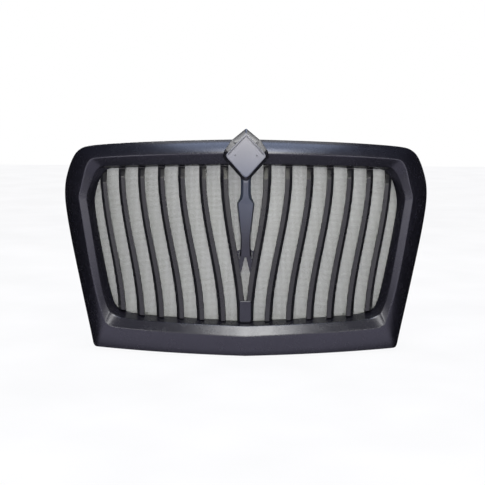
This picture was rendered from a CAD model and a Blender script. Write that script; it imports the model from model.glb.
import math

import bmesh
import bpy
import numpy as np
from mathutils import Matrix, Vector
from mathutils.geometry import delaunay_2d_cdt


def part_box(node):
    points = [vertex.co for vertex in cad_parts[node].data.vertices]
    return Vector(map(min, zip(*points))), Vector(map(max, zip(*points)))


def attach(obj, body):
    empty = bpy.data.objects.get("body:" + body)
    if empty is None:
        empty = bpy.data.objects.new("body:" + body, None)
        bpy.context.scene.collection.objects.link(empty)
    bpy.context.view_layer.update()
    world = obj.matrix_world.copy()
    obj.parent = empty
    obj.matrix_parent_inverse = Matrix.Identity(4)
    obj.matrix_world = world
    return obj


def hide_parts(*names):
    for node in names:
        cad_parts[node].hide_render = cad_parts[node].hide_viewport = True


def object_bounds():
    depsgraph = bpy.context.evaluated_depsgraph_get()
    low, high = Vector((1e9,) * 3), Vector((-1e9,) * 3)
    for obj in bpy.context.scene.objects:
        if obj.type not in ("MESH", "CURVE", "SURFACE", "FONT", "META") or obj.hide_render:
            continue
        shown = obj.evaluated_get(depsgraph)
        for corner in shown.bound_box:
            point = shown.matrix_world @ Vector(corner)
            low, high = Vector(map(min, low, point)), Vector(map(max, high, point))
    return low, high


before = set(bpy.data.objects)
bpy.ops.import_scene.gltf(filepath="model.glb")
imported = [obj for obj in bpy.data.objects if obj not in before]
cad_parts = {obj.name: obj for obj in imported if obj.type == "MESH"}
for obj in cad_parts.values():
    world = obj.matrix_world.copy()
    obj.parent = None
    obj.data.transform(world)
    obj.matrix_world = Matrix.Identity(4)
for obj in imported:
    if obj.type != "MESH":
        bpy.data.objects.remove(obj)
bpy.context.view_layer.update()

MM = 0.001

# ---------------------------------------------------------------- the frame

surround_low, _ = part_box("surround")
screen_low, screen_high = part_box("bug_screen")

# Depths count back from ridge_y in the middle. The surround's foremost point,
# the ridge at the bottom middle, lies 2 mm behind it.
ridge_y = surround_low.y - 2 * MM
BOW_SLOPE = 0.04
BOW_RADIUS = 2.1
FLANGE_FRONT = 71.3 * MM
FLANGE_BACK = 74.8 * MM
RIB_BACK = 88.8 * MM
SCREEN_MID = 76.1 * MM
RETAINER_FRONT = 77 * MM
RETAINER_BACK = 80.9 * MM
WALL = 3.5 * MM


def bow(x):
    """How far the bowed front falls back at a distance from the middle."""
    return BOW_SLOPE * abs(x) + x * x / (2 * BOW_RADIUS)


def bow_angle(x):
    """The bow's turn about the vertical at a distance from the middle."""
    return math.atan(BOW_SLOPE * (1 if x > 0 else -1 if x < 0 else 0) + x / BOW_RADIUS)


def place(x, depth, z):
    """A point whose depth counts back from the bowed front."""
    return Vector((x, ridge_y + bow(x) + depth, z))


def mix(a, b, t):
    return a * (1 - t) + b * t


def bend(a, b, c, t):
    """A point on the curve from a to c that leans toward b."""
    return mix(mix(a, b, t), mix(b, c, t), t)


def ease(t):
    t = min(1.0, max(0.0, t))
    return t * t * (3 - 2 * t)


def follow(guides, steps):
    """A smooth line, in metres, from the first guide to the last, in mm."""
    g = [Vector(p) * MM for p in guides]
    out = []
    last = len(g) - 2
    for k in range(1, last + 1):
        a = g[0] if k == 1 else (g[k - 1] + g[k]) / 2
        c = g[k + 1] if k == last else (g[k] + g[k + 1]) / 2
        out += [bend(a, g[k], c, s / steps) for s in range(steps)]
    return out + [g[-1]]


def closed(half):
    """The right half of a loop with its mirror image added."""
    return half + [Vector((-p.x, p.y, p.z)) for p in half[-2:0:-1]]


STEPS = 14
# Guides of the right half as [across, depth behind the bow, height].
OUTER = closed(follow([
    (0, 62, 302), (220, 62, 297), (455, 67, 281.5), (504, 72, 268),
    (532, 84, 222), (554, 94, 146), (541, 88, 40), (500, 72, -150),
    (464, 45, -296), (457.5, 36, -324.5), (438, 34, -325.5),
    (220, 30, -331), (0, 30, -335),
], STEPS))
RIDGE = closed(follow([
    (0, 11, 265), (200, 11, 261), (430, 9, 248), (465, 8, 239),
    (485.5, 2, 150), (491, 0, 135), (489.8, 0, 120), (452, 3, -120),
    (424, 4, -222), (412, 4, -252), (378, 4, -257), (200, 3, -264), (0, 2, -270),
], STEPS))
BEVEL = closed(follow([
    (0, 39, 232), (200, 38, 229), (405, 37, 223), (445, 35, 215),
    (467, 23, 146), (470.5, 20, 131), (469, 20, 116), (433, 22, -120),
    (416, 23, -190), (398, 24, -224), (345, 24, -234), (180, 24, -239), (0, 24, -243),
], STEPS))
OPENING = closed(follow([
    (0, 62, 228), (200, 61, 223), (380, 60, 214), (416, 60, 211),
    (440, 59, 172), (452, 58, 120), (446, 58, 60), (417, 59, -100),
    (402, 60, -172), (385, 60, -213), (320, 60, -224), (170, 60, -229), (0, 60, -236),
], STEPS))
STATIONS = len(OPENING)
# The opening's upper edge is the part of its outline above this height.
UPPER_EDGE = 0.185


def outward(i):
    """Direction from the opening's edge toward the outer edge, seen in front."""
    d = OUTER[i] - OPENING[i]
    d.y = 0
    return d.normalized()


def beside(i, out, depth):
    """A point outside the opening's edge, as [across, depth, height]."""
    p = OPENING[i] + outward(i) * out
    return Vector((p.x, depth, p.z))


def edge_height(x, upper):
    """Height of the opening's upper or lower edge, a distance from the middle."""
    x = abs(x)
    row = [p for p in OPENING if p.x >= 0 and (p.z > UPPER_EDGE if upper else p.z < 0)]
    row = sorted((p.x, p.z) for p in row)
    return float(np.interp(x, [r[0] for r in row], [r[1] for r in row]))


# ------------------------------------------------------------- mesh helpers

def rounded(points, cuts, n=4):
    """A closed outline with each corner swapped for a short curve."""
    out = []
    count = len(points)
    for i, p in enumerate(points):
        cut = cuts[i] if isinstance(cuts, (list, tuple)) else cuts
        a = points[i - 1] - p
        b = points[(i + 1) % count] - p
        if cut <= 0:
            out.append(p)
            continue
        start = p + a.normalized() * min(cut, a.length * 0.45)
        end = p + b.normalized() * min(cut, b.length * 0.45)
        out += [bend(start, p, end, s / n) for s in range(n + 1)]
    return out


def add_mesh(name, points, faces, material, smooth=True, weighted=True):
    mesh = bpy.data.meshes.new(name)
    mesh.from_pydata([tuple(p) for p in points], [], faces)
    mesh.validate()
    mesh.update()
    obj = bpy.data.objects.new(name, mesh)
    bpy.context.scene.collection.objects.link(obj)
    mesh.materials.append(material)
    if smooth:
        mesh.polygons.foreach_set("use_smooth", [True] * len(mesh.polygons))
        mesh.set_sharp_from_angle(angle=math.radians(38))
    if weighted:
        mod = obj.modifiers.new("normals", "WEIGHTED_NORMAL")
        mod.weight = 70
        mod.keep_sharp = True
    return obj


def ring_faces(count, n, loop):
    """Quads between neighbouring rings of n points each."""
    faces = []
    for i in range(count if loop else count - 1):
        for j in range(n):
            a = i * n + j
            b = i * n + (j + 1) % n
            c = ((i + 1) % count) * n + (j + 1) % n
            d = ((i + 1) % count) * n + j
            faces.append((a, b, c, d))
    return faces


def signed_volume(points, faces):
    """Six times the volume, negative where the faces point inward."""
    total = 0.0
    for f in faces:
        for k in range(1, len(f) - 1):
            total += points[f[0]].dot(points[f[k]].cross(points[f[k + 1]]))
    return total


def facing_out(points, faces):
    if signed_volume(points, faces) < 0:
        return [tuple(reversed(f)) for f in faces]
    return faces


def tube_faces(count, n, loop=False):
    """Faces of a tube of rings, joined end to end or capped at both ends."""
    faces = ring_faces(count, n, loop)
    if not loop:
        faces.append(tuple(range(n - 1, -1, -1)))
        faces.append(tuple((count - 1) * n + j for j in range(n)))
    return faces


def loft(name, rings, material, loop=False):
    points = [Vector(p) for r in rings for p in r]
    faces = tube_faces(len(rings), len(rings[0]), loop)
    return add_mesh(name, points, facing_out(points, faces), material)


def turns(sides):
    """Angles of equal steps round a full turn."""
    return [2 * math.pi * s / sides for s in range(sides)]


def side_word(side):
    return "right" if side > 0 else "left"


def finish_piece(obj, slot, *nodes):
    """Every piece rides on the one body, and names its slot and CAD nodes."""
    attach(obj, "root")
    if nodes:
        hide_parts(*nodes)


# ---------------------------------------------------------------- materials

def new_material(name):
    m = bpy.data.materials.new(name)
    m.use_nodes = True
    tree = m.node_tree
    tree.nodes.clear()
    out = tree.nodes.new("ShaderNodeOutputMaterial")
    shader = tree.nodes.new("ShaderNodeBsdfPrincipled")
    tree.links.new(shader.outputs["BSDF"], out.inputs["Surface"])
    return m, tree, shader


def noise(tree, scale, detail):
    coord = tree.nodes.new("ShaderNodeTexCoord")
    tex = tree.nodes.new("ShaderNodeTexNoise")
    tex.inputs["Scale"].default_value = scale
    tex.inputs["Detail"].default_value = detail
    tree.links.new(coord.outputs["Object"], tex.inputs["Vector"])
    return tex


def ramp(tree, source, low, high, start=0.3, end=0.7):
    r = tree.nodes.new("ShaderNodeValToRGB")
    r.color_ramp.elements[0].position = start
    r.color_ramp.elements[1].position = end
    r.color_ramp.elements[0].color = (*low, 1)
    r.color_ramp.elements[1].color = (*high, 1)
    tree.links.new(source, r.inputs["Fac"])
    return r


def surface(name, low, high, rough, metallic=0.0, grain=900.0, grain_depth=0.05,
            blotch=6.0, specular=0.5, tint=(1, 1, 1), rise=None):
    """Plastic, rubber or metal with slow colour drift, uneven sheen and grain.
    "rise" makes the colour run from low to high between two heights instead."""
    m, tree, shader = new_material(name)
    if rise:
        coord = tree.nodes.new("ShaderNodeTexCoord")
        split = tree.nodes.new("ShaderNodeSeparateXYZ")
        tree.links.new(coord.outputs["Object"], split.inputs[0])
        colour = ramp(tree, split.outputs["Z"], low, high, *rise)
    else:
        slow = noise(tree, blotch, 4)
        colour = ramp(tree, slow.outputs["Fac"], low, high)
    tree.links.new(colour.outputs["Color"], shader.inputs["Base Color"])
    sheen = noise(tree, blotch * 5, 6)
    level = tree.nodes.new("ShaderNodeMapRange")
    level.inputs["To Min"].default_value = rough[0]
    level.inputs["To Max"].default_value = rough[1]
    level.inputs["From Min"].default_value = 0.3
    level.inputs["From Max"].default_value = 0.7
    tree.links.new(sheen.outputs["Fac"], level.inputs["Value"])
    tree.links.new(level.outputs["Result"], shader.inputs["Roughness"])
    fine = noise(tree, grain, 3)
    bump = tree.nodes.new("ShaderNodeBump")
    bump.inputs["Strength"].default_value = grain_depth
    bump.inputs["Distance"].default_value = 0.4 * MM
    tree.links.new(fine.outputs["Fac"], bump.inputs["Height"])
    tree.links.new(bump.outputs["Normal"], shader.inputs["Normal"])
    shader.inputs["Metallic"].default_value = metallic
    shader.inputs["Specular IOR Level"].default_value = specular
    shader.inputs["Specular Tint"].default_value = (*tint, 1)
    return m


satin = surface("surround_plastic", (0.0045, 0.0044, 0.0065), (0.0065, 0.0062, 0.0095),
                rough=(0.24, 0.29), grain_depth=0.02)
bar_satin = surface("bar_plastic", (0.0045, 0.0045, 0.006), (0.0065, 0.0065, 0.0085),
                    rough=(0.25, 0.32), grain_depth=0.02, tint=(1.0, 1.0, 0.86))
trim_satin = surface("trim_plastic", (0.005, 0.0055, 0.008), (0.030, 0.036, 0.053),
                     rough=(0.22, 0.27), grain_depth=0.04, rise=(0.0, 0.14))
pad_base = surface("pad_base_plastic", (0.004, 0.004, 0.005), (0.006, 0.006, 0.008),
                   rough=(0.20, 0.25), grain_depth=0.02, specular=0.9)
pad_face = surface("pad_face_plastic", (0.036, 0.041, 0.062), (0.130, 0.128, 0.136),
                   rough=(0.34, 0.40), grain_depth=0.05, rise=(0.20, 0.31))
carrier_black = surface("carrier_plastic", (0.010, 0.010, 0.011), (0.018, 0.018, 0.019),
                        rough=(0.45, 0.60), grain=500, grain_depth=0.25)
retainer_black = surface("retainer_plastic", (0.012, 0.012, 0.013), (0.020, 0.020, 0.022),
                         rough=(0.42, 0.55), grain=500, grain_depth=0.25)
seal_rubber = surface("seal_rubber", (0.006, 0.006, 0.006), (0.012, 0.012, 0.012),
                      rough=(0.65, 0.80), grain=700, grain_depth=0.3)
wire_metal = surface("screen_wire", (0.19, 0.195, 0.175), (0.235, 0.24, 0.215),
                     rough=(0.42, 0.55), metallic=0.35, grain=300, grain_depth=0.1, blotch=3)
zinc_steel = surface("bracket_steel", (0.42, 0.43, 0.42), (0.56, 0.57, 0.55),
                     rough=(0.28, 0.42), metallic=0.95, grain=350, grain_depth=0.15, blotch=25)
zinc_screw = surface("fastener_zinc", (0.46, 0.47, 0.44), (0.60, 0.60, 0.56),
                     rough=(0.25, 0.38), metallic=0.95, grain=500, grain_depth=0.1, blotch=60)

# ----------------------------------------------------------------- surround

BACK = Vector((0, 1, 0))
# Where the section has points between the outer edge and the ridge.
OUTER_ROUND = (0.06, 0.16, 0.27, 0.38, 0.5, 0.62, 0.73, 0.83, 0.91)
INNER_ROUND = (0.75, 0.6, 0.45, 0.3, 0.18)


def surround_section(i):
    """One slice of the shell: round from the outer edge a to the ridge b, down
    the bevel c to the opening's edge d, and back along the inside."""
    a, b, c, d = OUTER[i], RIDGE[i], BEVEL[i], OPENING[i]
    n = outward(i)
    k = Vector((mix(b.x, a.x, 0.75), mix(b.y, a.y, 0.35), mix(b.z, a.z, 0.75)))
    outer_round = [bend(a, k, b, t) for t in OUTER_ROUND]
    inner_round = [bend(a, k, b, t) + BACK * WALL * 0.9 - n * WALL * 0.7 for t in INNER_ROUND]
    points = [a + BACK * 8 * MM - n * MM, a]
    cuts = [0.8 * MM, 2.5 * MM]
    points += outer_round
    cuts += [0] * len(outer_round)
    points += [b, c, d, d + n * WALL, c + BACK * (WALL + MM) + n * WALL,
               mix(b, c, 0.3) + BACK * WALL + n * WALL * 0.6, b + BACK * WALL * 1.6]
    cuts += [3.2 * MM, 3.0 * MM, 1.0 * MM, 1.0 * MM, 2 * MM, 1 * MM, 2 * MM]
    points += inner_round
    cuts += [0] * len(inner_round)
    points += [a - n * WALL + BACK * 2 * MM, a + BACK * 8 * MM - n * (WALL + MM)]
    cuts += [1 * MM, 0.8 * MM]
    return [place(p.x, p.y, p.z) for p in rounded(points, cuts)]


surround = loft("surround_shell", [surround_section(i) for i in range(STATIONS)], satin, loop=True)
finish_piece(surround, "surround_plastic", "surround")


def seal_section(i):
    a = OUTER[i]
    n = outward(i)
    outline = [(-1, 8.1), (0.5, 10.5), (-0.5, 12.6), (-4, 12.6), (-5.5, 10.5), (-5, 8.1)]
    points = [a + n * q[0] * MM + BACK * q[1] * MM for q in outline]
    return [place(p.x, p.y, p.z) for p in rounded(points, 1.2 * MM, 3)]


seal = loft("hood_seal_bulb", [seal_section(i) for i in range(STATIONS)], seal_rubber, loop=True)
finish_piece(seal, "seal_rubber", "hood_seal")

# ------------------------------------------------------ carrier and retainer

RING_INNER = 3.5 * MM
CARRIER_OUTER = 57 * MM
RIB_INNER = 54 * MM
RETAINER_OUTER = 10.5 * MM


def ring_around(name, outline, radius, material):
    """A ring round the opening from a section of (outward, depth) corners."""
    rings = []
    flat = rounded([Vector((q[0], q[1], 0)) for q in outline], radius, 3)
    for i in range(STATIONS):
        rings.append([])
        for q in flat:
            p = beside(i, q.x, q.y)
            rings[-1].append(place(p.x, p.y, p.z))
    return loft(name, rings, material, loop=True)


carrier = ring_around("carrier_ring", [
    (RING_INNER, FLANGE_FRONT), (CARRIER_OUTER, FLANGE_FRONT), (CARRIER_OUTER, RIB_BACK),
    (RIB_INNER, RIB_BACK), (RIB_INNER, FLANGE_BACK), (RING_INNER, FLANGE_BACK),
], 0.8 * MM, carrier_black)
finish_piece(carrier, "carrier_plastic", "carrier_frame")
retainer = ring_around("retainer_ring", [
    (RING_INNER, RETAINER_FRONT), (RETAINER_OUTER, RETAINER_FRONT),
    (RETAINER_OUTER, RETAINER_BACK), (RING_INNER, RETAINER_BACK),
], 0.9 * MM, retainer_black)
finish_piece(retainer, "retainer_plastic", "screen_frame")

# --------------------------------------------------------------------- bars

BAR_COUNT = 7
# The bars of the right half, whose boxes give their places at top and foot.
BARS = [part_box("bar_right_%d" % (k + 1)) for k in range(BAR_COUNT)]
BAR_W = 20.8 * MM
BAR_SPREAD = 1.8 * MM
BAR_EXTRA = 2 * MM
BAR_DEPTH = 26 * MM
BAR_FRONT = 45 * MM
TAB_STEP = 21 * MM
# Heights: the S curve's two ends, where the upper slope starts, the tabs' ends.
CURVE_TOP = 0.2
CURVE_FOOT = -0.235
KINK_TOP = 0.190
TAB_TOP = 0.253
TAB_FOOT = -0.261


def drift(z):
    """How far down the S curve a height is, from 0 to 1."""
    return ease((CURVE_TOP - z) / (CURVE_TOP - CURVE_FOOT))


def bar_width(i, z):
    """The innermost bar is wide all along, and the others widen downward."""
    return BAR_W + (BAR_EXTRA if i == 0 else BAR_SPREAD * drift(z))


def bar_x(i, z):
    top = BARS[i][1].x - bar_width(i, CURVE_TOP) / 2
    foot = BARS[i][0].x + bar_width(i, CURVE_FOOT) / 2
    return mix(top, foot, drift(z))


# The section, in parts of the width and of the depth.
BAR_OUTLINE = rounded([Vector((q[0], q[1], 0)) for q in [
    (-0.46, 0), (0.08, 0), (0.5, 0.36), (0.5, 0.56),
    (0.3, 1), (-0.3, 1), (-0.5, 0.54), (-0.5, 0.1),
]], 0.06, 3)


def bar_section(i, z, back, dip):
    """A slice set back in front, and tilted down in front by dip."""
    width = bar_width(i, z)
    return [place(bar_x(i, z) + q.x * width,
                  BAR_FRONT + back + q.y * (BAR_DEPTH - back),
                  z - dip * (1 - q.y)) for q in BAR_OUTLINE]


def bar_mesh(i, side):
    top_x, top_half = bar_x(i, CURVE_TOP), bar_width(i, CURVE_TOP) / 2
    foot_x, foot_half = bar_x(i, CURVE_FOOT), bar_width(i, CURVE_FOOT) / 2
    top = edge_height(top_x + top_half, True) - 2.5 * MM
    foot = edge_height(foot_x + foot_half, False) + 1.5 * MM
    inner_top = edge_height(top_x - top_half, True)
    kink = min(KINK_TOP, top - 12 * MM)
    rows = [(TAB_TOP, TAB_STEP, 0)]
    if inner_top - top > 8 * MM:
        # By the opening's corner the upper slope runs on behind the surround.
        slope_top, slope_back = inner_top, TAB_STEP
        rows += [(inner_top, TAB_STEP, 0)]
    else:
        slope_top, slope_back = top, 12.5 * MM
        rows += [(top + 0.5 * MM, TAB_STEP, 0), (top, 13.6 * MM, 0),
                 (top - 0.6 * MM, 12.4 * MM, 0)]
    rows += [(mix(slope_top, kink, t), slope_back * (1 - t), 0) for t in (0.15, 0.4, 0.7, 0.9)]
    rows += [(kink + 1.2 * MM, 0.5 * MM, 0), (kink - 0.8 * MM, 0.1 * MM, 0), (kink - 3 * MM, 0, 0)]
    rows += [(mix(kink - 6 * MM, foot + 10 * MM, s / 48), 0, 0) for s in range(49)]
    rows += [(foot + 4 * MM, 0, 1.2 * MM), (foot + 0.6 * MM, 0, 2.8 * MM),
             (foot, 0.4 * MM, 2.8 * MM), (foot - 0.4 * MM, TAB_STEP, 0),
             (TAB_FOOT, TAB_STEP, 0)]
    rings = [bar_section(i, *r) for r in rows]
    name = "bar_%s_%d" % (side_word(side), i + 1)
    if side < 0:
        rings = [[Vector((-p.x, p.y, p.z)) for p in r] for r in rings]
    piece = loft(name + "_slat", rings, bar_satin)
    finish_piece(piece, "bar_plastic", name)


for number in range(BAR_COUNT):
    bar_mesh(number, 1)
    bar_mesh(number, -1)

# --------------------------------------------------------------- centre trim

def trim_section(z, half, face, front, back):
    """A slice of half width "half" whose flat face is 2 * face wide, in mm."""
    outline = [(-face, 0), (face, 0), (half, 0.8), (half, 0.9),
               (half * 0.9, 1), (-half * 0.9, 1), (-half, 0.9), (-half, 0.8)]
    flat = rounded([Vector((x, front + t * (back - front), 0)) for x, t in outline], 1.6, 3)
    return [place(p.x * MM, p.y * MM, z * MM) for p in flat]


def smooth_rows(rows, each, reach):
    """Fills in between (height, half, face, front, back) rows with soft turns."""
    zs = np.array([r[0] for r in rows], float)
    order = np.argsort(zs)
    out = [rows[0]]
    for k in range(len(rows) - 1):
        for s in range(1, each + 1):
            z = mix(rows[k][0], rows[k + 1][0], s / each)
            if z == rows[-1][0]:
                continue
            span = min(reach, abs(z - zs).min() + 0.6, z - rows[-1][0], rows[0][0] - z)
            values = []
            for c in (1, 2, 3, 4):
                column = np.array([r[c] for r in rows], float)
                near = [np.interp(z + d * span, zs[order], column[order])
                        for d in (-1, -0.5, 0, 0.5, 1)]
                values.append(float(np.mean(near)))
            out.append((z, *values))
    return out + [rows[-1]]


spear_rows = smooth_rows([
    (253, 9, 5, 66, 70.7), (228, 10, 6, 66, 70.7), (215, 12, 8, 60, 70.7), (196, 15.4, 11, 50, 60),
    (191, 16, 12, 38, 52), (184, 15.2, 7.8, 34, 50), (146, 15.2, 7.2, 34, 50), (134, 17, 9, 34, 50),
    (126, 21, 14.2, 34, 50), (117, 25.8, 21.8, 34, 50), (68, 20.4, 16.6, 34, 50),
    (22, 15.2, 11.8, 34, 50), (-12, 15.2, 11.8, 34, 50), (-38, 16.6, 12.8, 38, 50),
], 6, 2.5)
spear = loft("spear_strip", [trim_section(*r) for r in spear_rows], trim_satin)
finish_piece(spear, "trim_plastic", "center_spear")

foot_rows = smooth_rows([
    (-171, 16.5, 14, 43.8, 44.1), (-172.2, 17.2, 15.4, 41.4, 44.1),
    (-174, 17.6, 16, 41, 44.1), (-204, 17.6, 16, 41, 44.1),
    (-207, 17.4, 15.8, 41.8, 44.1), (-232, 17.4, 15.8, 41.8, 44.1),
    (-236, 16, 14, 42.6, 44.1),
], 5, 1.2)
foot = loft("foot_block", [trim_section(*r) for r in foot_rows], trim_satin)
finish_piece(foot, "trim_plastic", "vee_foot")

# -------------------------------------------------------------- emblem pad

# The pad leans back about the line through its side corners, which is PAD_Z
# high and PAD_DEPTH deep.
PAD_Z = 0.260
PAD_DEPTH = -16 * MM
PAD_LEAN = math.radians(10)
HOLE_X = (-31 * MM, 31 * MM)
HOLE_R = 2.25 * MM
HOLE_RIM = 0.4 * MM


def pad_frame(x, depth, z):
    """Point in the pad's own frame, which leans back about its side corners."""
    up = z - PAD_Z
    y = depth * math.cos(PAD_LEAN) + up * math.sin(PAD_LEAN)
    rise = up * math.cos(PAD_LEAN) - depth * math.sin(PAD_LEAN)
    return Vector((x, ridge_y + PAD_DEPTH + y, PAD_Z + rise))


def diamond(inset):
    """The plate's outline moved inward: crisp top, rounded sides and bottom."""
    side, top, low = 59.6 * MM, 323 * MM, 194.2 * MM
    up_turn = math.atan2(side, top - PAD_Z)
    low_turn = math.atan2(side, PAD_Z - low)
    top -= inset / math.sin(up_turn)
    low += inset / math.sin(low_turn)
    side -= inset * 2 / (math.cos(up_turn) + math.cos(low_turn))
    soft = max(3 * MM, 11 * MM - inset)
    corners = [(0, 0, top), (side, 0, PAD_Z), (0, 0, low), (-side, 0, PAD_Z)]
    return rounded([Vector(p) for p in corners], [1.2 * MM, soft, soft, soft], 8)


def hole_ring(x, radius):
    return [Vector((x + radius * math.cos(a), 0, PAD_Z + radius * math.sin(a)))
            for a in turns(24)]


def grooved(outline, depth, groove):
    """An outline on the pad, sunk further above the side corners. Both depths
    are in mm."""
    return [pad_frame(p.x, (depth + groove * ease((p.z - PAD_Z) / (4 * MM))) * MM, p.z)
            for p in outline]


def pad_solid(name, layers, hole_depth, material):
    """Stacks (outline, depth, groove depth) layers front to back and closes the
    front around two real holes that run back to the hole depth."""
    rings = [grooved(*layer) for layer in layers]
    points = [p for r in rings for p in r]
    n = len(rings[0])
    faces = ring_faces(len(rings), n, False)
    faces.append(tuple((len(rings) - 1) * n + j for j in range(n)))
    front_depth = 0.0
    holes = [hole_ring(x, HOLE_R + HOLE_RIM) for x in HOLE_X]
    flat = [Vector((p.x, p.z)) for p in layers[0][0]]
    loops = [list(range(n))]
    for h in holes:
        loops.append(list(range(len(flat), len(flat) + len(h))))
        flat += [Vector((p.x, p.z)) for p in h]
    loops = loops[:1] + [list(reversed(q)) for q in loops[1:]]
    spots, _, front_faces, *_ = delaunay_2d_cdt(flat, [], loops, 0, 1e-7)
    keep = {}
    for face in front_faces:
        mid = sum((spots[i] for i in face), Vector((0, 0))) / len(face)
        if any((mid - Vector((x, PAD_Z))).length < HOLE_R for x in HOLE_X):
            continue
        ids = []
        for i in face:
            p = spots[i]
            key = (round(p.x, 7), round(p.y, 7))
            if key not in keep:
                keep[key] = len(points)
                points.append(pad_frame(p.x, front_depth, p.y))
            ids.append(keep[key])
        faces.append(tuple(reversed(ids)))
    rows = [(HOLE_R + HOLE_RIM, front_depth), (HOLE_R, front_depth + HOLE_RIM),
            (HOLE_R, hole_depth)]
    for x, h in zip(HOLE_X, holes):
        start = len(points)
        for radius, depth in rows:
            points += [pad_frame(p.x, depth, p.z) for p in hole_ring(x, radius)]
        for f in ring_faces(len(rows), len(h), False):
            faces.append(tuple(reversed([start + i for i in f])))
        faces.append(tuple(start + 2 * len(h) + i for i in range(len(h))))
    mesh_piece = add_mesh(name, points, faces, material, smooth=False, weighted=False)
    clean = bmesh.new()
    clean.from_mesh(mesh_piece.data)
    bmesh.ops.remove_doubles(clean, verts=clean.verts, dist=1e-6)
    bmesh.ops.recalc_face_normals(clean, faces=clean.faces)
    clean.to_mesh(mesh_piece.data)
    clean.free()
    return mesh_piece


plate = pad_solid("pad_face", [
    (diamond(7.2 * MM), 0.0, 0.05),
    (diamond(6.8 * MM), 0.0, 0.3),
    (diamond(6.5 * MM), 0.0, 3.2),
    (diamond(4.2 * MM), 0.0, 3.2),
    (diamond(4.0 * MM), 0.0, 0.5),
    (diamond(3.6 * MM), 0.0, 0.0),
    (diamond(2.4 * MM), 0.0, 0.5),
    (diamond(1.0 * MM), 0.2, 1.2),
    (diamond(0.3 * MM), 0.5, 1.5),
    (diamond(0), 1.2, 1.3),
    (diamond(0), 5.0, 0.0),
], 4.9 * MM, pad_face)
finish_piece(plate, "pad_face_plastic", "emblem_plate")


def body_outline(points):
    """The pad's outline from (across, height) corners of its right half, in mm."""
    right = [Vector((x * MM, 0, z * MM)) for x, z in points]
    left = [Vector((-p.x, 0, p.z)) for p in right[-2:0:-1]]
    return rounded(right + left, 4 * MM, 4)


BODY_FRONT = body_outline([
    (0, 325.5), (28, 294.5), (50, 269), (56.5, 260), (50, 250.5), (8, 202), (0, 198),
])
BODY_BACK = body_outline([
    (0, 340), (42, 305), (62, 276), (66.5, 260), (58, 246), (10, 194), (0, 189.5),
])
BODY_INNER = body_outline([
    (0, 304), (20, 286), (38, 268), (44, 260), (38, 252), (8, 218), (0, 214),
])


def widening(t):
    """The outline part of the way from the front one to the back one."""
    return [mix(p, q, t) for p, q in zip(BODY_FRONT, BODY_BACK)]


def inward(outline, amount):
    middle = Vector((0, 0, PAD_Z))
    return [middle + (p - middle) * (1 - amount / (p - middle).length) for p in outline]


base = loft("pad_body", [grooved(outline, depth, 0) for outline, depth in [
    (BODY_FRONT, 5.1), (widening(0.04), 5.3), (widening(0.5), 10.4), (widening(0.95), 15.3),
    (widening(0.995), 16.2), (BODY_BACK, 17.4), (inward(BODY_BACK, 0.5 * MM), 18),
    (BODY_INNER, 18), (BODY_INNER, 25.5),
]], pad_base)
finish_piece(base, "pad_base_plastic", "emblem_base")


def rod_between(name, start, end, radius, material):
    axis = (end - start).normalized()
    side = axis.cross(Vector((0, 0, 1))).normalized()
    up = side.cross(axis)
    rings = [[p + (side * math.cos(a) + up * math.sin(a)) * radius for a in turns(32)]
             for p in (start, end)]
    return loft(name, rings, material)


# Two moulded posts carry the pad through the surround to the carrier.
POST_X = 22 * MM
POST_Z = 0.250
POST_R = 7 * MM
POST_LENGTH = 66 * MM
POST_START = 3.8 * MM
for side in (-1, 1):
    x = side * POST_X
    a = bow_angle(x)
    forward = Vector((math.sin(a), -math.cos(a), 0))
    back_point = place(x, FLANGE_BACK, POST_Z) + forward * POST_START
    post = rod_between("pad_post_" + side_word(side), back_point,
                       back_point + forward * POST_LENGTH, POST_R, pad_base)
    finish_piece(post, "pad_base_plastic")

# --------------------------------------------------------------- bug screen

SCREEN_MARGIN = 9.5 * MM
OUTLINE = [beside(i, SCREEN_MARGIN, 0) for i in range(STATIONS)]
OUT_X = np.array([p.x for p in OUTLINE])
OUT_Z = np.array([p.z for p in OUTLINE])


def crossings(along, across, value):
    """Lowest and highest place where the outline meets a straight line."""
    next_along, next_across = np.roll(along, -1), np.roll(across, -1)
    hit = (across - value) * (next_across - value) <= 0
    step = next_across[hit] - across[hit]
    t = (value - across[hit]) / np.where(step == 0, 1e-9, step)
    places = along[hit] + t * (next_along[hit] - along[hit])
    return float(places.min()), float(places.max())


PITCH = 3.6 * MM
WIRE_HALF = 1.15 * MM
WIRE_THIN = 0.34 * MM
WAVE = 0.34 * MM


def wire_group(name, lines, upright):
    """Flat wires at whole steps of the pitch, that wave over and under those
    of the other direction."""
    points, faces = [], []
    for k in lines:
        fixed = k * PITCH
        along, across = (OUT_Z, OUT_X) if upright else (OUT_X, OUT_Z)
        low, high = crossings(along, across, fixed)
        first, last = math.ceil(low / PITCH), math.floor(high / PITCH)
        start = len(points)
        for j in range(first, last + 1):
            sway = WAVE * (1 if (j + k) % 2 else -1) * (1 if upright else -1)
            x, z = (fixed, j * PITCH) if upright else (j * PITCH, fixed)
            y = ridge_y + bow(x) + SCREEN_MID + sway
            if upright:
                points += [(x - WIRE_HALF, y, z), (x, y - WIRE_THIN, z),
                           (x + WIRE_HALF, y, z), (x, y + WIRE_THIN, z)]
            else:
                points += [(x, y, z - WIRE_HALF), (x, y + WIRE_THIN, z),
                           (x, y, z + WIRE_HALF), (x, y - WIRE_THIN, z)]
        count = last - first + 1
        for j in range(count - 1):
            for s in range(4):
                a = start + j * 4 + s
                b = start + j * 4 + (s + 1) % 4
                faces.append((a, b, b + 4, a + 4))
    piece = add_mesh(name, points, faces, wire_metal, weighted=False)
    finish_piece(piece, "screen_wire", "bug_screen")


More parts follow.
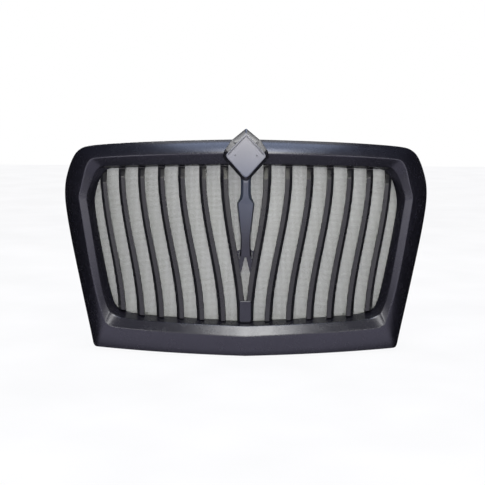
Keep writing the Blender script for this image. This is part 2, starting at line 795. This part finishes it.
side_limit = int((screen_high.x - 2 * MM) / PITCH)
low_limit = int((screen_low.z + 1.5 * MM) / PITCH)
high_limit = int((screen_high.z - 1.5 * MM) / PITCH)
wire_group("weave_upright_left", range(-side_limit, 0), True)
wire_group("weave_upright_right", range(0, side_limit + 1), True)
wire_group("weave_level_low", range(low_limit, 0), False)
wire_group("weave_level_high", range(0, high_limit + 1), False)

# ---------------------------------------------------------------- fasteners


def islands(node):
    """Vertex positions of each separate solid of a CAD node."""
    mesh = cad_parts[node].data
    keys = {}
    parent = []
    owner = []
    for v in mesh.vertices:
        key = tuple(round(c, 6) for c in v.co)
        if key not in keys:
            keys[key] = len(parent)
            parent.append(len(parent))
        owner.append(keys[key])

    def root(i):
        while parent[i] != i:
            parent[i] = parent[parent[i]]
            i = parent[i]
        return i

    for poly in mesh.polygons:
        ids = [root(owner[v]) for v in poly.vertices]
        for i in ids[1:]:
            parent[root(i)] = root(ids[0])
    groups = {}
    for key, i in keys.items():
        groups.setdefault(root(i), []).append(Vector(key))
    return list(groups.values())


SCREW_SIDES = 24


def turned_ring(along, radius, hexed):
    """A ring about +Y, round or a hexagon."""
    ring = []
    for a in turns(SCREW_SIDES):
        r = radius
        if hexed:
            off = (a % (math.pi / 3)) - math.pi / 6
            r = radius * math.cos(math.pi / 6) / math.cos(off)
        ring.append(Vector((r * math.cos(a), along, r * math.sin(a))))
    return ring


def screw_node(node, name, shank_r, washer_r, hex_r, head_h):
    """A washer face and a hexagon with a recess, on the shank of each screw."""
    points, faces = [], []
    for group in islands(node):
        centre = sum(group, Vector()) / len(group)
        turn = Matrix.Rotation(bow_angle(centre.x), 3, "Z")
        axis = turn @ BACK
        far = max(p.dot(axis) for p in group)
        near = min(p.dot(axis) for p in group)
        seat = centre + axis * (far - head_h - centre.dot(axis))
        length = far - head_h - near
        rows = [(-length, shank_r * 0.2, False), (-length + shank_r * 1.2, shank_r * 0.97, False),
                (0, shank_r * 0.97, False), (0, washer_r, False), (head_h * 0.18, washer_r, False),
                (head_h * 0.3, washer_r * 0.93, False), (head_h * 0.36, hex_r, True),
                (head_h * 0.86, hex_r, True), (head_h, hex_r * 0.86, True),
                (head_h * 0.97, hex_r * 0.62, False), (head_h * 0.7, hex_r * 0.5, False)]
        start = len(points)
        points += [seat + turn @ p for row in rows for p in turned_ring(*row)]
        faces += [tuple(start + i for i in f) for f in tube_faces(len(rows), SCREW_SIDES)]
    obj = add_mesh(name, points, facing_out(points, faces), zinc_screw,
                   smooth=False, weighted=False)
    finish_piece(obj, "fastener_zinc", node)


# CAD node, new piece, and the radii of shank, washer and hexagon and the
# head's height, in mm.
for node, name, *sizes in [
    ("surround_screws", "surround_screw_set", 1.9, 4.5, 3.4, 3),
    ("bar_screws_upper", "bar_screw_set_upper", 1.8, 4.2, 3.2, 3),
    ("bar_screws_lower", "bar_screw_set_lower", 1.8, 4.2, 3.2, 3),
    ("spear_screw", "spear_screw_set", 1.8, 4.2, 3.2, 3),
    ("emblem_screws", "emblem_screw_set", 2.5, 6, 4.6, 4),
    ("screen_screws", "screen_screw_set", 1.3, 3, 2.3, 2.3),
]:
    screw_node(node, name, *[size * MM for size in sizes])

# ----------------------------------------------- CAD nodes that stay visible

carried = {
    "center_yoke": trim_satin,
    "bracket_upper_left": zinc_steel, "bracket_upper_right": zinc_steel,
    "bracket_lower_left": zinc_steel, "bracket_lower_right": zinc_steel,
    "bracket_bolts": zinc_screw, "bracket_nuts": zinc_screw,
}
for node, material in carried.items():
    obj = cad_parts[node]
    obj.data.materials.clear()
    obj.data.materials.append(material)
    soft = obj.modifiers.new("edge", "BEVEL")
    soft.width = 0.5 * MM
    soft.segments = 2
    soft.limit_method = "ANGLE"
    soft.angle_limit = math.radians(40)

# -------------------------------------------------------------------- stage

low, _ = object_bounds()
FLOOR_GAP = 2 * MM
FLOOR_HALF = 8
FLOOR_GLOW = 1.19
ROOM_TINT = (0.92, 0.88, 1.18)
AMBIENT = 0.22
# Brightness in front from straight down (0) to straight up (1).
ROOM_LEVELS = [
    (0.0, 0.30), (0.2, 0.45), (0.37, 0.47), (0.41, 0.27), (0.44, 0.31),
    (0.475, 0.44), (0.52, 0.60), (0.56, 0.40), (0.65, 0.20), (1.0, 0.10),
]


def glow_by_direction(tree, vector):
    """Brightness of the room as a mirror sees it: in front a narrow band at
    the horizon and a broad one below it, dim overhead and almost dark behind,
    with a soft light from straight below."""
    split = tree.nodes.new("ShaderNodeSeparateXYZ")
    tree.links.new(vector, split.inputs[0])
    height = tree.nodes.new("ShaderNodeMapRange")
    height.inputs["From Min"].default_value = -1
    height.inputs["From Max"].default_value = 1
    tree.links.new(split.outputs["Z"], height.inputs["Value"])
    band = tree.nodes.new("ShaderNodeValToRGB")
    stops = band.color_ramp.elements
    while len(stops) < len(ROOM_LEVELS):
        stops.new(0.5)
    for stop, (where, level) in zip(stops, ROOM_LEVELS):
        stop.position = where
        stop.color = (level, level, level, 1)
    tree.links.new(height.outputs["Result"], band.inputs["Fac"])
    ahead = tree.nodes.new("ShaderNodeMapRange")
    ahead.interpolation_type = "SMOOTHSTEP"
    ahead.inputs["From Min"].default_value = 0.0
    ahead.inputs["From Max"].default_value = -0.55
    ahead.inputs["To Min"].default_value = 0.03
    ahead.inputs["To Max"].default_value = 3.0
    tree.links.new(split.outputs["Y"], ahead.inputs["Value"])
    below = tree.nodes.new("ShaderNodeMapRange")
    below.inputs["From Min"].default_value = -0.75
    below.inputs["From Max"].default_value = -1
    below.inputs["To Max"].default_value = 0.45
    tree.links.new(split.outputs["Z"], below.inputs["Value"])
    total = tree.nodes.new("ShaderNodeMath")
    total.operation = "MULTIPLY_ADD"
    tree.links.new(band.outputs["Color"], total.inputs[0])
    tree.links.new(ahead.outputs["Result"], total.inputs[1])
    tree.links.new(below.outputs["Result"], total.inputs[2])
    return total.outputs["Value"]


def floor_paint():
    """A pale matt floor that looks almost as bright as the backdrop to the
    camera, while it lights the part as a real one does."""
    m, tree, shader = new_material("floor_paint")
    tex = noise(tree, 3, 2)
    shade = ramp(tree, tex.outputs["Fac"], (0.80, 0.80, 0.81), (0.83, 0.83, 0.84))
    tree.links.new(shade.outputs["Color"], shader.inputs["Base Color"])
    shader.inputs["Roughness"].default_value = 0.9
    shader.inputs["Specular IOR Level"].default_value = 0.1
    glow = tree.nodes.new("ShaderNodeEmission")
    glow.inputs["Strength"].default_value = FLOOR_GLOW
    tree.links.new(shade.outputs["Color"], glow.inputs["Color"])
    path = tree.nodes.new("ShaderNodeLightPath")
    share = tree.nodes.new("ShaderNodeMath")
    share.operation = "MULTIPLY"
    share.inputs[1].default_value = 0.97
    tree.links.new(path.outputs["Is Camera Ray"], share.inputs[0])
    seen = tree.nodes.new("ShaderNodeMixShader")
    tree.links.new(share.outputs["Value"], seen.inputs["Fac"])
    tree.links.new(shader.outputs["BSDF"], seen.inputs[1])
    tree.links.new(glow.outputs["Emission"], seen.inputs[2])
    tree.links.new(seen.outputs["Shader"], tree.get_output_node("ALL").inputs["Surface"])
    return m


floor_z = low.z - FLOOR_GAP
floor_mesh = bpy.data.meshes.new("floor")
floor_mesh.from_pydata([(x * FLOOR_HALF, y * FLOOR_HALF, floor_z)
                        for x, y in ((-1, -1), (1, -1), (1, 1), (-1, 1))], [], [(0, 1, 2, 3)])
floor_mesh.materials.append(floor_paint())
floor = bpy.data.objects.new("floor", floor_mesh)
bpy.context.scene.collection.objects.link(floor)
floor.visible_glossy = False


def softbox(name, place_at, aim, size, power, tint=(1, 1, 1)):
    """A rectangular light that the camera never sees."""
    data = bpy.data.lights.new(name, "AREA")
    data.shape = "RECTANGLE"
    data.size, data.size_y = size
    data.energy = power
    data.color = tint
    obj = bpy.data.objects.new(name, data)
    bpy.context.scene.collection.objects.link(obj)
    obj.location = place_at
    obj.rotation_mode = "QUATERNION"
    obj.rotation_quaternion = (Vector(aim) - Vector(place_at)).to_track_quat("-Z", "Y")
    obj.visible_camera = False
    return obj


softbox("key_overhead", (0.12, -1.28, 2.12), (0, -0.15, 0), (0.8, 0.95), 38)
softbox("front_tall", (0.0, -2.75, 1.33), (0, -0.15, 0.3), (0.95, 2.5), 52)
softbox("ceiling", (0.05, 0.25, 2.3), (0.05, 0.2, 0.0), (1.45, 2.0), 24, tint=(0.80, 0.95, 1.35))
softbox("ceiling_edge", (0.08, -0.58, 2.3), (0.06, -0.2, 0.25), (0.9, 0.45), 9,
        tint=(0.90, 0.96, 1.18))
softbox("back_overhead", (0, 1.6, 1.9), (0, -0.1, 0.1), (1.4, 0.8), 3)
softbox("rear_left", (-0.5, 2.3, 0.35), (0, 0, 0), (0.9, 0.6), 14)
softbox("rear_right", (0.5, 2.2, 0.1), (0, 0, -0.05), (0.8, 0.6), 9)
for s in (-1, 1):
    side_name = side_word(s)
    # A narrow beam on the pad's upper side.
    narrow = softbox(side_name + "_top", (s * 0.95, -0.30, 1.36), (0, -0.2, 0.315),
                      (0.3, 0.3), 0.034)
    narrow.data.spread = math.radians(16)
    softbox(side_name + "_side", (s * 1.7, -1.4, 0.58), (0, -0.15, 0.1), (0.8, 0.8), 4)
    softbox(side_name + "_low", (s * 1.6, -1.1, low.z), (s * 1.6, -1.1, 1), (0.8, 0.8), 6)
    softbox(side_name + "_front", (s * 1.2, -1.8, 0.9), (0, -0.15, -0.2), (0.5, 0.5), 8)

# The camera sees a white backdrop, mirrors see the room, and the rest is a
# dim even light.
world = bpy.data.worlds.new("studio")
bpy.context.scene.world = world
world.use_nodes = True
tree = world.node_tree
tree.nodes.clear()
out = tree.nodes.new("ShaderNodeOutputWorld")
path = tree.nodes.new("ShaderNodeLightPath")


def backdrop(colour, strength):
    node = tree.nodes.new("ShaderNodeBackground")
    node.inputs["Color"].default_value = (*colour, 1)
    node.inputs["Strength"].default_value = strength
    return node


def choose(when, yes, no):
    node = tree.nodes.new("ShaderNodeMixShader")
    tree.links.new(path.outputs[when], node.inputs["Fac"])
    tree.links.new(no.outputs[0], node.inputs[1])
    tree.links.new(yes.outputs[0], node.inputs[2])
    return node


coord = tree.nodes.new("ShaderNodeTexCoord")
reflected = backdrop(ROOM_TINT, 1.0)
glow = glow_by_direction(tree, coord.outputs["Generated"])
tree.links.new(glow, reflected.inputs["Strength"])
ambient = backdrop((1.0, 1.0, 1.0), AMBIENT)
seen = backdrop((1.0, 1.0, 1.0), 1.0)
mixed = choose("Is Camera Ray", seen, choose("Is Glossy Ray", reflected, ambient))
tree.links.new(mixed.outputs["Shader"], out.inputs["Surface"])

bpy.context.scene.view_settings.view_transform = "Standard"

# ------------------------------------------------------------------- camera

camera_data = bpy.data.cameras.new("camera")
camera_data.sensor_width = 36
camera_data.lens = 80.75
camera = bpy.data.objects.new("camera", camera_data)
bpy.context.scene.collection.objects.link(camera)
bpy.context.scene.camera = camera
azimuth, elevation, roll = math.radians(0.15), math.radians(8), math.radians(0.25)
target = Vector((-0.009, -0.14, 0.0))
CAMERA_DISTANCE = 3.2
away = Vector((math.sin(azimuth) * math.cos(elevation),
               -math.cos(azimuth) * math.cos(elevation),
               math.sin(elevation)))
camera.location = target + away * CAMERA_DISTANCE
camera.rotation_mode = "QUATERNION"
level_view = (-away).to_track_quat("-Z", "Y")
camera.rotation_quaternion = level_view @ Matrix.Rotation(roll, 3, "Z").to_quaternion()
